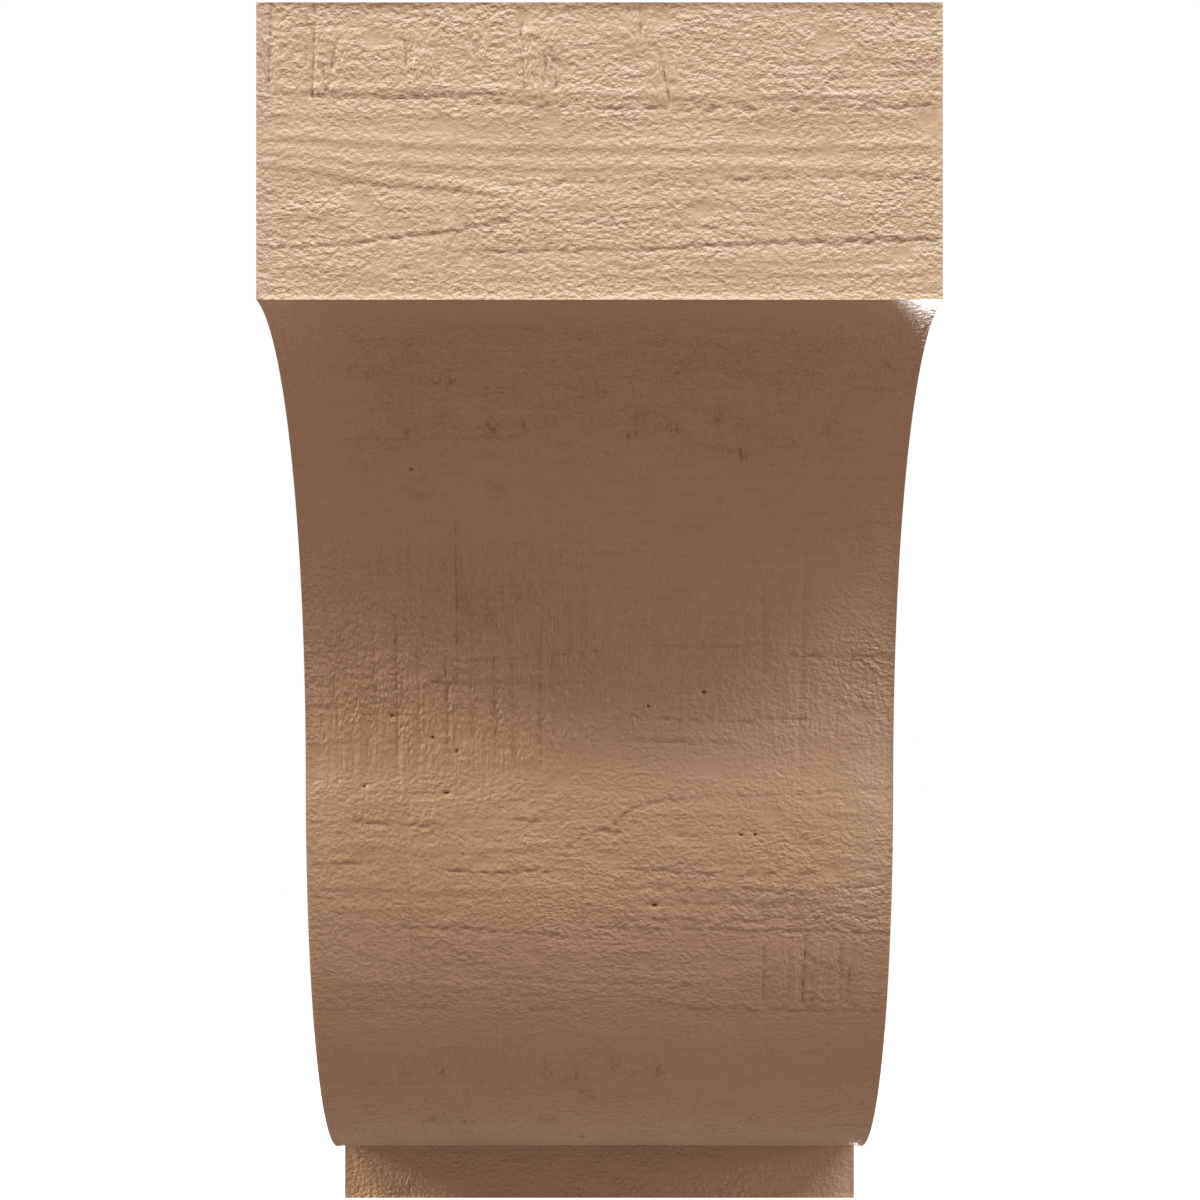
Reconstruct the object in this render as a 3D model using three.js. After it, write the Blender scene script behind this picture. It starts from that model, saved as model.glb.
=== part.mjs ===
// Ogee corbel, a bracket that is cut to one outline all across its width.
// A square block carries the load at the top. Under it the front sweeps back in
// a hollow quarter round, swells in a full quarter round, and ends on a small
// square foot against the wall. The whole corbel is one piece.
//
// Millimetres, +Z up. The origin is the centre of the flat back, which lies on
// the wall in the plane y = 0. The corbel projects towards -Y, and +X is its
// right-hand side for someone who faces it.

import * as THREE from 'three';

// Overall sizes
const WIDTH = 152.4;
const HEIGHT = 304.8;
const PROJECTION = 254;

// Block at the top, from its top face down to the front edge of the hollow
const BLOCK_HEIGHT = 66;

// Foot at the bottom, and the flat ledge between it and the end of the swell
const FOOT_HEIGHT = 18;
const FOOT_DEPTH = 25.4;
const LEDGE_DEPTH = 7.8;

// Flat steps in each quarter round
const ARC_STEPS = 36;

const TIMBER_TAN = '#cfb28e';

// The outline seen from the side. Its first axis is the distance out from the
// wall and its second axis is the height above the centre of the back.
function sideOutline() {
  const top = HEIGHT / 2;
  const blockBottom = top - BLOCK_HEIGHT;
  const footTop = FOOT_HEIGHT - top;
  const swellEnd = FOOT_DEPTH + LEDGE_DEPTH;

  // The hollow and the swell share the height and the depth that the block and
  // the foot leave, half each, and meet where the front runs straight down.
  const arcHeight = (blockBottom - footTop) / 2;
  const arcDepth = (PROJECTION - swellEnd) / 2;
  const meeting = new THREE.Vector2(PROJECTION - arcDepth, blockBottom - arcHeight);

  const outline = new THREE.Shape();
  outline.moveTo(0, -top);
  outline.lineTo(FOOT_DEPTH, -top);
  outline.lineTo(FOOT_DEPTH, footTop);
  outline.lineTo(swellEnd, footTop);
  quarterRound(outline, new THREE.Vector2(swellEnd, meeting.y), arcDepth, arcHeight, -Math.PI / 2, 0);
  quarterRound(outline, new THREE.Vector2(PROJECTION, meeting.y), arcDepth, arcHeight, Math.PI, Math.PI / 2);
  outline.lineTo(PROJECTION, top);
  outline.lineTo(0, top);
  outline.closePath();
  return outline;
}

// Adds a quarter of an ellipse to the outline, from one angle to the other,
// without the first point, where the outline already is.
function quarterRound(outline, centre, radiusOut, radiusUp, from, to) {
  for (let step = 1; step <= ARC_STEPS; step += 1) {
    const angle = from + ((to - from) * step) / ARC_STEPS;
    outline.lineTo(centre.x + radiusOut * Math.cos(angle), centre.y + radiusUp * Math.sin(angle));
  }
}

// The outline carried across the width, and turned from the drawing plane so
// that the wall side faces +Y.
function corbelGeometry() {
  const geometry = new THREE.ExtrudeGeometry(sideOutline(), { depth: WIDTH, bevelEnabled: false });
  geometry.translate(0, 0, -WIDTH / 2);
  const outFromWall = new THREE.Vector3(0, -1, 0);
  const up = new THREE.Vector3(0, 0, 1);
  const across = new THREE.Vector3().crossVectors(outFromWall, up);
  geometry.applyMatrix4(new THREE.Matrix4().makeBasis(outFromWall, up, across));
  return geometry;
}

const timber = new THREE.MeshStandardMaterial({ color: TIMBER_TAN, roughness: 0.78, metalness: 0 });

const corbel = new THREE.Mesh(corbelGeometry(), timber);
corbel.name = 'corbel';

const part = new THREE.Group();
part.add(corbel);

export default part;
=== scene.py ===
# Ogee corbel in rough-sawn timber, one piece fixed to a wall by its flat back.
#
# The piece keeps the solid's outline and adds the sawn surface as mesh: crumbled
# fibres, torn ledges, low ridges, close level rows, saw strokes and pits. The
# finest grain is in the material. The object is in metres, +Z up, with its front
# towards -Y. The relief is worked out in millimetres.

import math

import bpy
import numpy as np
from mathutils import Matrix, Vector
from mathutils.geometry import delaunay_2d_cdt


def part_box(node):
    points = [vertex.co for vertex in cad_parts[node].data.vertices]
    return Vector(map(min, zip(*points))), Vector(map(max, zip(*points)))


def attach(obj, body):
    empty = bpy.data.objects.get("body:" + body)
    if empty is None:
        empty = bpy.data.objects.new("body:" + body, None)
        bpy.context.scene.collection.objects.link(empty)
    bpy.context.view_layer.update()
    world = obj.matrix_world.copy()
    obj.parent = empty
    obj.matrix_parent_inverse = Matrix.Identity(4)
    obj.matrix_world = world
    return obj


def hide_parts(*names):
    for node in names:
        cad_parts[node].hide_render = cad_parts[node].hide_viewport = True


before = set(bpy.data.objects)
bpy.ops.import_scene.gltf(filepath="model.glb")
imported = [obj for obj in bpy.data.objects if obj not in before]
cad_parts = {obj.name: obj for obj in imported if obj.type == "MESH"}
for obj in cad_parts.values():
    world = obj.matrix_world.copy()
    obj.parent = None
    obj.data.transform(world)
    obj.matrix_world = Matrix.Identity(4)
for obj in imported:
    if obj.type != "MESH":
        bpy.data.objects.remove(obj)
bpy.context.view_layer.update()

MM = 0.001
SEED = 20

# Outline of the solid, in millimetres
low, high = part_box("corbel")
HALF_WIDTH = high.x / MM
TOP = high.z / MM
PROJECTION = -low.y / MM
BLOCK_HEIGHT = 66.0
FOOT_HEIGHT = 18.0
FOOT_DEPTH = 25.4
LEDGE_DEPTH = 7.8
BLOCK_BOTTOM = TOP - BLOCK_HEIGHT
FOOT_TOP = FOOT_HEIGHT - TOP
SWELL_END = FOOT_DEPTH + LEDGE_DEPTH
ARC_RADIUS = (BLOCK_BOTTOM - FOOT_TOP) / 2
ARC_CENTRE = (BLOCK_BOTTOM + FOOT_TOP) / 2
ARC_LENGTH = ARC_RADIUS * math.pi / 2

# How far down the front, along its surface, each stretch ends
HOLLOW_START = BLOCK_HEIGHT
SWELL_START = HOLLOW_START + ARC_LENGTH
LEDGE_START = SWELL_START + ARC_LENGTH
FOOT_START = LEDGE_START + LEDGE_DEPTH
FRONT_END = FOOT_START + FOOT_HEIGHT


# Noise

def cell_value(column, row, seed):
    """A repeatable value from 0 to 1 for each whole-numbered cell."""
    n = (column * 374761393 + row * 668265263 + seed * 1442695041) & 0xFFFFFFFF
    n = ((n ^ (n >> 13)) * 1274126177) & 0xFFFFFFFF
    return ((n ^ (n >> 16)) & 0xFFFFFF) / 0xFFFFFF


def noise(x, y, seed):
    """Smooth noise, mostly from -1 to 1, with about one bump to each unit."""
    column = np.floor(x).astype(np.int64)
    row = np.floor(y).astype(np.int64)
    across = x - column
    along = y - row

    def corner(right, up):
        angle = 2 * np.pi * cell_value(column + right, row + up, seed + SEED)
        return np.cos(angle) * (across - right) + np.sin(angle) * (along - up)

    fade_x = across ** 3 * (across * (across * 6 - 15) + 10)
    fade_y = along ** 3 * (along * (along * 6 - 15) + 10)
    lower = corner(0, 0) + fade_x * (corner(1, 0) - corner(0, 0))
    upper = corner(0, 1) + fade_x * (corner(1, 1) - corner(0, 1))
    return 1.6 * (lower + fade_y * (upper - lower))


def layered(x, y, seed, layers):
    """Noise with finer and weaker noise added on top."""
    return sum(noise(x * 2 ** k, y * 2 ** k, seed + 7 * k) / 1.8 ** k for k in range(layers))


def ramp(x, start, end):
    """Rises smoothly from 0 at start to 1 at end."""
    t = np.clip((x - start) / (end - start), 0, 1)
    return t * t * (3 - 2 * t)


def band(x, start, full, full_end, end):
    """1 from full to full_end, falling smoothly to 0 at start and at end."""
    return ramp(x, start, full) * (1 - ramp(x, full_end, end))


def patch(u, v, across, down):
    """1 inside a rectangle, falling to 0 at its limits. Each way has band's four places."""
    return band(u, *across) * band(v, *down)


def spot(u, v, across, down, half_width, half_height, power=2):
    """1 in the middle of a round spot, or a squarer one with a higher power, 0 away from it."""
    far = ((u - across) / half_width) ** power + ((v - down) / half_height) ** power
    return np.exp(-far)


def thin_lines(field, width):
    """1 along the lines where the field crosses zero, 0 away from them."""
    return 1 - ramp(np.abs(field), 0, width)


# Marks on the front. Each point is millimetres across from the middle, then
# millimetres down the front along its surface.

# Torn ledges, where fibres broke out under a raised lip: depth, how broken into
# dots the edge is, then the path
LEDGES = (
    (0.33, 1.0, ((-64, 20.4), (-44, 20.9), (-28, 20.4))),
    (0.26, 1.0, ((-28, 21.8), (-5, 23.2), (16, 23.0))),
    (0.21, 0.8, ((14, 23.2), (48, 23.6), (76, 22.6))),
    (0.10, 0.8, ((-6, 24.6), (8, 25.4))),
    (0.10, 0.6, ((28, 12.6), (50, 13.4), (76, 13.0))),
    (0.12, 0.6, ((24, 15.8), (52, 16.4), (76, 15.6))),
    (0.12, 0.6, ((30, 19.0), (76, 18.8))),
    (0.12, 0.6, ((-62, 39.6), (-40, 40.8), (-22, 42.6))),
    (0.17, 0.7, ((-24, 40.4), (-8, 39.8), (14, 39.4), (36, 39.2))),
    (0.13, 0.8, ((30, 39.0), (54, 38.4), (76, 39.2))),
    (0.16, 0.7, ((-76, 48.4), (-60, 48.0))),
    (0.26, 0.5, ((-76, 54.4), (-56, 53.4), (-41, 51.4), (-30, 50.0), (-20, 48.4))),
    (0.16, 0.9, ((-14, 48.6), (4, 48.4), (26, 49.8))),
    (0.21, 0.7, ((-30, 55.2), (-6, 54.8), (12, 54.6))),
    (0.29, 0.4, ((12, 54.4), (24, 53.6), (40, 53.2), (76, 52.2))),
    (0.11, 0.5, ((-76, 59.0), (-20, 58.8), (12, 58.6))),
    (0.18, 0.9, ((-58, 100.4), (-42, 100.2))),
    (0.31, 0.9, ((-64, 142.0), (-45, 142.0), (-18, 141.6), (-8, 143.4))),
    (0.22, 0.9, ((-8, 144.4), (14, 144.0), (30, 145.6), (56, 144.6))),
    (0.20, 0.9, ((-54, 155.2), (-40, 156.0), (-18, 155.8))),
    (0.22, 0.9, ((54, 155.0), (76, 154.6))),
    (0.20, 1.0, ((0, 177.6), (18, 176.8))),
    (0.22, 1.0, ((-26, 190.0), (-12, 190.4))),
    (0.31, 0.8, ((-10, 206.2), (2, 204.6), (12, 203.4), (40, 203.8))),
    (0.27, 0.8, ((46, 206.0), (76, 206.6))),
    (0.23, 0.6, ((-44, 213.2), (-20, 213.6), (-4, 213.4))),
    (0.22, 0.9, ((6, 222.0), (24, 223.6), (54, 222.8))),
    (0.23, 0.9, ((8, 228.4), (36, 229.4))),
    (0.30, 0.8, ((-10, 260.6), (-8, 256.6), (-4, 253.0), (3, 251.4), (7, 247.4), (12, 244.6),
                 (24, 243.8))),
    (0.12, 0.6, ((24, 243.4), (54, 242.4), (76, 240.8))),
    (0.29, 0.7, ((-65, 249.4), (-52, 250.4), (-40, 250.8))),
    (0.24, 0.7, ((-24, 249.4), (-8, 249.2))),
    (0.24, 0.9, ((-6, 251.8), (6, 252.2))),
    (0.12, 0.9, ((14, 253.4), (26, 253.6))),
    (0.27, 0.8, ((-42, 262.4), (-30, 263.2), (-12, 262.8))),
    (0.20, 0.7, ((-76, 260.8), (-60, 261.0))),
    (0.17, 0.9, ((50, 252.8), (56, 255.0), (60, 257.0))),
    (0.15, 0.8, ((4, 262.2), (34, 263.6), (66, 263.4))),
    (0.15, 0.8, ((0, 267.4), (48, 268.4), (76, 266.6))),
    (0.14, 0.8, ((20, 271.6), (52, 272.2))),
    (0.16, 0.8, ((2, 276.0), (38, 276.6), (62, 275.6))),
    (0.21, 0.8, ((0, 278.4), (20, 279.0), (56, 279.6), (76, 280.2))),
    (0.23, 0.8, ((-58, 278.4), (-44, 278.6), (-28, 279.4), (-8, 281.0))),
    (0.12, 0.6, ((-42, 285.0), (-36, 286.0), (-33, 288.6))),
    (0.10, 0.6, ((-27, 284.6), (-22, 287.6))),
    (0.12, 0.8, ((-32, 293.6), (-12, 294.0), (0, 296.2))),
    (0.12, 0.8, ((6, 291.4), (22, 291.0))),
    (0.14, 0.8, ((4, 295.2), (14, 295.4), (26, 296.0))),
    (0.14, 0.7, ((-26, 299.6), (-12, 299.0))),
    (0.10, 0.7, ((-72, 300.6), (-56, 301.4))),
    (0.10, 0.8, ((-76, 304.0), (-48, 303.6), (-8, 304.2))),
    (0.19, 0.8, ((14, 300.6), (24, 303.8), (48, 304.4), (76, 304.8))),
    (0.32, 0.9, ((-64, 333.8), (-46, 334.2), (-34, 332.2))),
    (0.22, 0.9, ((-32, 336.6), (2, 336.4))),
    (0.14, 0.9, ((-8, 344.6), (8, 344.6))),
)

# Low ridges along the grain: height, then the path
RIDGES = (
    (0.20, ((-76, 19.2), (-28, 19.4), (10, 20.8), (76, 20.4))),
    (0.19, ((-76, 29.4), (-52, 31.0), (-22, 32.0), (76, 32.0))),
    (0.17, ((-76, 33.0), (-54, 35.2), (-24, 36.4), (40, 36.6), (76, 37.2))),
    (0.20, ((-76, 35.4), (-56, 38.2), (-40, 40.2), (-22, 42.0))),
    (0.10, ((-76, 24.6), (10, 25.6), (76, 25.0))),
    (0.12, ((-60, 45.4), (-10, 45.0), (40, 44.4))),
    (0.13, ((20, 57.6), (76, 56.6))),
    (0.14, ((-76, 59.8), (-20, 60.0), (30, 60.2), (76, 59.8))),
    (0.13, ((-76, 244.6), (-50, 245.4), (-20, 243.8))),
    (0.17, ((-76, 256.6), (-30, 257.2), (-12, 256.0))),
    (0.16, ((-76, 267.0), (-40, 268.2), (-6, 267.6))),
    (0.14, ((-72, 273.2), (-30, 273.0))),
    (0.13, ((-70, 295.6), (-30, 296.6))),
    (0.14, ((6, 247.8), (40, 248.2), (76, 247.0))),
    (0.10, ((40, 228.0), (76, 226.6))),
)

# Saw strokes down the front: depth, then the upper and the lower end
STROKES = (
    (0.38, (-73.0, 1), (-73.6, 20)),
    (0.45, (-63.2, 1), (-63.8, 21)),
    (0.25, (-65.0, 2), (-65.2, 14)),
    (0.41, (-58.6, 9), (-60.6, 20)),
    (0.28, (-61.4, 12), (-61.0, 20)),
    (0.33, (-43.2, 8), (-43.0, 14)),
    (0.26, (-36.2, 11), (-35.6, 19)),
    (0.47, (-28.4, 7), (-27.4, 11.5)),
    (0.33, (-27.4, 7), (-26.4, 11)),
    (0.51, (-17.2, 4.6), (-17.6, 7.6)),
    (0.34, (-15.6, 7), (-7.6, 15.4)),
    (0.33, (-11.6, 11), (-12.8, 22)),
    (0.34, (-10.0, 12), (-9.6, 22.6)),
    (0.28, (-17.0, 9), (-16.8, 20)),
    (0.40, (8.8, 0.5), (9.2, 9.5)),
    (0.40, (13.6, 12), (15.8, 22.6)),
    (0.34, (6.2, 0.4), (6.6, 2.4)),
    (0.20, (-34.0, 55), (-31.6, 51)),
    (0.20, (18.0, 91), (17.4, 99)),
    (0.20, (44.6, 88), (45.2, 97)),
    (0.28, (-36.4, 168), (-36.8, 214)),
    (0.22, (-58.4, 182), (-58.0, 226)),
    (0.30, (-52.6, 196), (-52.4, 238)),
    (0.20, (-46.8, 204), (-46.6, 230)),
    (0.24, (-39.8, 206), (-39.4, 232)),
    (0.22, (-33.0, 198), (-33.2, 228)),
    (0.26, (-27.2, 206), (-27.0, 236)),
    (0.22, (-22.4, 206), (-22.6, 236)),
    (0.26, (-15.6, 204), (-15.2, 236)),
    (0.22, (-12.2, 206), (-12.0, 230)),
    (0.22, (41.6, 186), (42.4, 212)),
    (0.18, (52.4, 180), (51.8, 238)),
    (0.26, (43.2, 284), (43.4, 303)),
    (0.22, (49.8, 286), (50.0, 302)),
    (0.40, (54.0, 281), (53.8, 304)),
    (0.24, (56.4, 288), (56.2, 303)),
    (0.30, (63.2, 284), (63.6, 303)),
    (0.22, (66.0, 290), (65.8, 303)),
    (0.22, (-4.4, 258), (-4.6, 279)),
    (0.20, (-49.8, 262), (-49.4, 300)),
)

# Round pits: across, down, radius across, radius down
PITS = (
    (-43.2, 228.0, 0.55, 0.6),
    (-37.0, 231.6, 0.6, 0.7),
    (-39.8, 242.4, 1.0, 0.45),
    (-61.0, 240.6, 0.5, 0.45),
    (-53.8, 222.4, 0.55, 0.45),
    (12.6, 219.8, 0.5, 0.5),
    (27.0, 216.2, 0.7, 0.55),
    (14.4, 272.6, 0.85, 0.45),
    (36.8, 253.4, 0.55, 0.4),
    (40.4, 253.4, 0.55, 0.45),
    (-46.8, 152.4, 0.6, 0.65),
    (18.6, 116.8, 0.6, 0.6),
    (-37.6, 358.0, 0.45, 0.9),
    (-5.0, 373.0, 0.7, 1.3),
)

# Torn clusters, where the fibres are pulled out, drawn only as specks of painted
# shade: across, down, half width, half height
CLUSTERS = (
    (-47, 140, 2.0, 3.0),
    (-55, 117, 1.5, 4.0),
    (-36, 120, 3.0, 3.0),
    (-26, 137, 3.0, 4.0),
    (-19, 137, 1.6, 4.5),
    (-12, 136, 2.6, 6.0),
    (8, 141, 2.2, 3.0),
    (10, 135, 2.6, 4.0),
    (17, 138, 3.0, 4.0),
    (29, 134, 2.2, 5.0),
    (36, 138, 4.0, 4.0),
    (20, 148, 4.0, 2.2),
    (34, 147, 4.0, 2.2),
    (0, 125, 3.0, 2.0),
    (-24, 160, 4.0, 3.0),
    (-46, 159, 6.0, 4.0),
    (-43, 328, 1.6, 4.0),
    (-37, 326, 3.0, 4.0),
    (-14, 328, 2.4, 5.0),
    (-8, 331, 3.0, 4.0),
    (4, 325, 1.8, 6.0),
    (10, 329, 3.0, 3.0),
    (16, 329, 2.0, 4.0),
    (-5, 340, 4.0, 3.0),
    (-14, 356, 4.0, 2.4),
    (-48, 357, 4.0, 2.4),
    (44, 356, 5.0, 2.0),
)

# Places on the block where the blade scratched upright: across, down, half width,
# half height
SCRATCHED = (
    (-73, 10, 3, 9),
    (-61, 13, 5, 8),
    (-41, 12, 5, 6),
    (-27, 10, 3, 4),
    (-14, 13, 6, 9),
    (8, 5, 4, 6),
    (14, 17, 4, 6),
    (-34, 52, 3, 4),
)

# Patches of close level rows of torn fibres: across, down, half width, half
# height, strength
ROWS = (
    (-30, 277.5, 20, 4, 0.9),
    (-28, 249, 24, 4, 0.8),
    (62, 246, 16, 8, 0.8),
    (-26, 263, 16, 3, 0.7),
    (-50, 262, 12, 5, 0.8),
    (0, 299, 32, 5, 0.7),
    (8, 212, 26, 13, 0.55),
    (68, 220, 12, 16, 0.8),
    (-30, 331, 28, 8, 0.5),
    (47, 350, 8, 8, 0.5),
)

# Smooth spots, where the sawn fibres are rubbed flat
RUBBED = (
    (-50, 8), (-17, 3.6), (14, 3.4), (51, 8.4), (-35, 27), (-11, 26), (73, 26), (51, 33),
    (-53, 44.4), (23, 46), (67, 56), (-47, 211), (-34.5, 228), (-10.5, 239), (29, 236), (68, 222),
    (45, 248), (20, 253), (-62, 261), (-31, 261), (61, 263), (-2, 258), (3, 260), (-64, 281),
    (-17, 287.4), (12, 289), (34, 290), (66.5, 288), (11, 217), (-17, 197), (33, 97),
    (-58, 318), (60, 347), (5, 431),
)
RUBBED_HALF_WIDTH = 2.64
RUBBED_HALF_HEIGHT = 2.2
RUBBED_SMOOTHING = 0.55
RUBBED_FINE_SMOOTHING = 0.75

# Patches on the front. The four places each way are where the patch begins,
# where it is full, where it stops being full and where it ends. Places past an edge
# of the front make the patch reach that edge.
FROM_TOP = (-20, -10)
FROM_LEFT = (-90, -80)
TO_RIGHT = (80, 90)
ALL_ACROSS = FROM_LEFT + TO_RIGHT

# How crumbled the front is: down, on the left, on the right. About 1 on the block,
# more where the light lies flat on it.
CRUMBLED = (
    (56, 1.0, 1.0),
    (61, 1.25, 1.05),
    (66, 1.1, 1.0),
    (69, 0.45, 0.45),
    (78, 0.65, 0.65),
    (92, 2.6, 2.6),
    (110, 3.3, 3.3),
    (125, 2.7, 2.7),
    (145, 2.3, 2.3),
    (158, 1.45, 1.45),
    (172, 1.6, 1.4),
    (187, 2.4, 0.85),
    (202, 2.7, 0.95),
    (217, 2.2, 1.0),
    (232, 1.4, 0.95),
    (247, 1.4, 0.92),
    (262, 1.35, 1.15),
    (285, 1.35, 1.05),
    (300, 1.2, 1.25),
    (325, 2.0, 1.5),
    (352, 2.0, 1.7),
    (385, 2.9, 2.8),
    (420, 3.0, 3.0),
    (424, 1.15, 1.2),
)
LEAST_CRUMBLED = 0.35
MOST_CRUMBLED = 3.4

# Level bands that are less or more crumbled: middle and half height
CALM_BANDS = ((29, 4.5), (36, 5), (60, 3), (308, 8), (235, 4))
TORN_BANDS = ((8, 6), (17, 4), (51, 4), (272, 9), (300, 4), (217, 6))
CALMING = 0.22
TEARING = 0.12

# Patches that are more or less crumbled than what is around them: by how much,
# across, down
CRUMBLED_PATCHES = (
    (0.3, FROM_LEFT + (-20, 10), FROM_TOP + (14, 24)),
    (0.25, (10, 40) + TO_RIGHT, (33, 36, 46, 50)),
    (0.35, (30, 50) + TO_RIGHT, (246, 256, 278, 284)),
    (-0.6, (24, 34, 56, 66), (318, 324, 342, 350)),
    (-0.6, FROM_LEFT + (-70, -54), (76, 90, 150, 170)),
    (-0.6, (56, 70) + TO_RIGHT, (124, 134, 150, 158)),
)

# A torn corner of the swell, which the light only grazes: across, down, half width,
# half height
GRAZED_CORNER = (72, 208, 8, 11)
GRAZED_CRUMBLED = 1.2

# Patches where the blade's strokes across the grain show: strength, across, down
SAWN = (
    (1.0, (-78, -66, -8, 12), (150, 190, 232, 240)),
    (0.12, (36, 44, 54, 62), (165, 195, 225, 250)),
    (0.8, (38, 46, 66, 72), (280, 288, 302, 306)),
    (0.3, FROM_LEFT + (-30, -8), (240, 250, 296, 306)),
    (0.5, ALL_ACROSS, (76, 100, 150, 170)),
    (0.5, ALL_ACROSS, (306, 320, 372, 384)),
)
SAWN_BLOCK = (FROM_LEFT + (-20, -5), FROM_TOP + (18, 23))
SAWN_BLOCK_STRENGTH = 0.1
SAWN_EVERYWHERE = 0.12
SCRATCH_STRENGTH = 0.75

# Level stretches of faint specks of painted shade, and how strong they are
SPECKLED = ((92, 112, 146, 166), (312, 328, 352, 370))
SPECKLE_STRENGTH = 0.12

# Heights and depths of the surface relief. Crumbs in the mesh stop growing where the
# front is more crumbled than CRUMB_LIMIT, and only the finest grain goes on.
WAVE_HEIGHT = 0.15
FINE_WAVE_HEIGHT = 0.036
CRUMB_HEIGHT = 0.030
CRUMB_LIMIT = 2.2
ROW_HEIGHT = 0.16
LEVEL_GROOVE = 0.10
CROSS_RIDGE = 0.14
CROSS_GROOVE = 0.16
PIT_DEPTH = 0.85

# How far the relief as a whole lies under the solid's surface
SUNK = 0.3

# Depth at which the painted shade at the bottom of a ledge, a stroke or a pit is
# darkest, and how dark the painted shade under the deepest ledges is
DARK_DEPTH = 0.42
LEDGE_DARKNESS = 0.58


# Surface relief, in millimetres, never above the solid's own surface

def grain_shift(u, v):
    """How far the grain lines are pushed down from level by the cone of the tree."""
    left = ramp(-u, 20, 76)
    cone = left * np.interp(v, (18, 29, 34.5, 54, 62), (0, 3.0, 7.4, -6.4, 0))
    step = ramp(u, -12, 14) - 0.5
    knot = 13 * step * np.exp(-(((v - 252) / 13) ** 2))
    drift = 1.6 * noise(u / 48, v / 30, 91)
    return cone + knot + drift


def coarseness(u, v):
    """How crumbled the surface is at each place on the front."""
    torn = 1.0 + 0.25 * noise(u / 26, v / 17, 31)
    for middle, half_height in CALM_BANDS:
        torn -= CALMING * np.exp(-(((v - middle) / half_height) ** 2))
    for middle, half_height in TORN_BANDS:
        torn += TEARING * np.exp(-(((v - middle) / half_height) ** 2))
    down, on_left, on_right = zip(*CRUMBLED)
    right = ramp(u, -18, 30)
    torn *= (1 - right) * np.interp(v, down, on_left) + right * np.interp(v, down, on_right)
    for more, across, down in CRUMBLED_PATCHES:
        torn *= 1 + more * patch(u, v, across, down)
    torn *= 1 + GRAZED_CRUMBLED * spot(u, v, *GRAZED_CORNER)
    foot = ramp(v, 421, 424)
    torn *= 1 + foot * (0.5 - 0.78 * ramp(u, 10, 70))
    return np.clip(torn, LEAST_CRUMBLED, MOST_CRUMBLED)


def cluster_field(u, v):
    """Painted shade: 1 in the middle of each torn cluster, low in the speckled stretches."""
    field = SPECKLE_STRENGTH * sum(band(v, *stretch) for stretch in SPECKLED)
    aside = u + 1.8 * noise(u / 4, v / 5, 25)
    below = v + 2.4 * noise(u / 3.4, v / 6, 26)
    uneven = 0.8 + 0.5 * noise(u / 3.4, v / 7, 27)
    for cluster in CLUSTERS:
        field = np.maximum(field, spot(aside, below, *cluster) * uneven)
    fainter = 0.25 * band(v, 146, 156, 170, 180) + 0.1 * ramp(v, 240, 300)
    return field * (0.75 - fainter)


def rows_field(u, v):
    """Where the torn fibres lie in close level rows, from 0 to 1."""
    swell = ramp(u, -4, 10) * band(v, 256, 264, 279, 282)
    block = 0.55 * (1 - ramp(v, 19, 24)) + 0.28 * band(v, 37, 40, 52, 56)
    field = swell + block
    for across, down, half_width, half_height, strength in ROWS:
        field = np.maximum(field, strength * spot(u, v, across, down, half_width, half_height, 4))
    return np.clip(field, 0, 1)


def saw_field(u, v):
    """Where the blade's strokes across the grain show, from 0 to 1."""
    block = SAWN_BLOCK_STRENGTH * patch(u, v, *SAWN_BLOCK)
    for place in SCRATCHED:
        block = np.maximum(block, SCRATCH_STRENGTH * spot(u, v, *place, power=4))
    field = SAWN_EVERYWHERE + block
    for strength, across, down in SAWN:
        field += strength * patch(u, v, across, down)
    return np.clip(field, 0, 1)


def rubbed(u, v):
    """1 in the middle of each smooth spot, 0 away from them."""
    spots = np.zeros_like(u)
    for across, down in RUBBED:
        far = ((u - across) / RUBBED_HALF_WIDTH) ** 2 + ((v - down) / RUBBED_HALF_HEIGHT) ** 2
        spots = np.maximum(spots, np.exp(-(far ** 1.5)))
    return spots


def ledge_line(number, path, u):
    """How far down a ledge's torn edge runs, with its small wanderings."""
    across, down = zip(*path)
    wander = 0.45 * noise(u / 5, u * 0, 200 + number) + 0.75 * noise(u / 2.1, u * 0, 300 + number)
    return np.interp(u, across, down) + wander


def ledge_relief(u, v):
    """A raised lip that breaks off along each ledge's path with a hollow under it,
    and the shade painted into the hollow."""
    relief = np.zeros_like(u)
    painted_shade = np.zeros_like(u)
    for number, (depth, dots, path) in enumerate(LEDGES):
        across, down = zip(*path)
        below = v - ledge_line(number, path, u)
        ends = ramp(u, across[0] - 2, across[0] + 2) * (1 - ramp(u, across[-1] - 2, across[-1] + 2))
        short_breaks = 1.6 * noise(u / 1.8, v / 7, 400 + number)
        long_breaks = 0.6 * noise(u / 7, v * 0, 700 + number)
        left = np.clip(1 + dots * (short_breaks + long_breaks - 0.5), 0, 1.8)
        broken = depth * ends * left
        lip = 0.45 * np.exp(-((np.minimum(below, 0) / 0.9) ** 2))
        drop = ramp(below, 0, 0.35)
        hollow = np.exp(-np.maximum(below - 0.35, 0) / 0.4)
        relief += broken * (lip * (1 - drop) - drop * hollow) * (below > -6)
        # Painted shade at the bottom of the hollow under the lip
        shade = LEDGE_DARKNESS * np.exp(-(((below - 0.3) / 0.34) ** 2))
        painted_shade = np.maximum(painted_shade, shade * broken / DARK_DEPTH)
    return relief, painted_shade


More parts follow.
